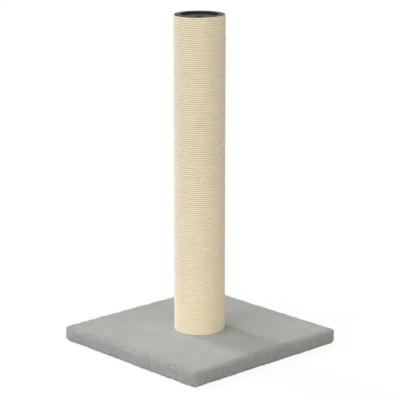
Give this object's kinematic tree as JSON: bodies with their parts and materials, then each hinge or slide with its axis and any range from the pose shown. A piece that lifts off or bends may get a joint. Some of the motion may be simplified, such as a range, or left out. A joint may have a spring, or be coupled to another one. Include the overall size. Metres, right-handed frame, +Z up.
{
  "type": "cat scratching post",
  "caption": "Cat scratching post: a cardboard tube wound with sisal rope and closed by moulded plugs, bolted upright to a square board covered in plush.",
  "frame": {"origin": "on the floor under the middle of the square base, on the axis of the post", "axes": "+Z up along the post; +X and +Y along the sides of the base"},
  "size_m": [0.35, 0.35, 0.6],
  "materials": {
    "chipboard": "raw pressed chips",
    "plush": "short-pile plush, light grey",
    "steel": "zinc plated",
    "black_plastic": "satin moulded",
    "cardboard": "spiral-wound cardboard",
    "sisal": "twisted natural rope, pale cream"
  },
  "bodies": {
    "root": {"base_board": "chipboard", "base_plush_cover": "plush", "hem_staples": "steel", "bottom_plug": "black_plastic", "top_cap": "black_plastic", "plug_nuts": "steel", "base_bolt": "steel", "bolt_washer": "steel", "post_tube": "cardboard", "sisal_sleeve": "sisal", "sisal_rope_turns": "sisal"}
  },
  "joints": []
}
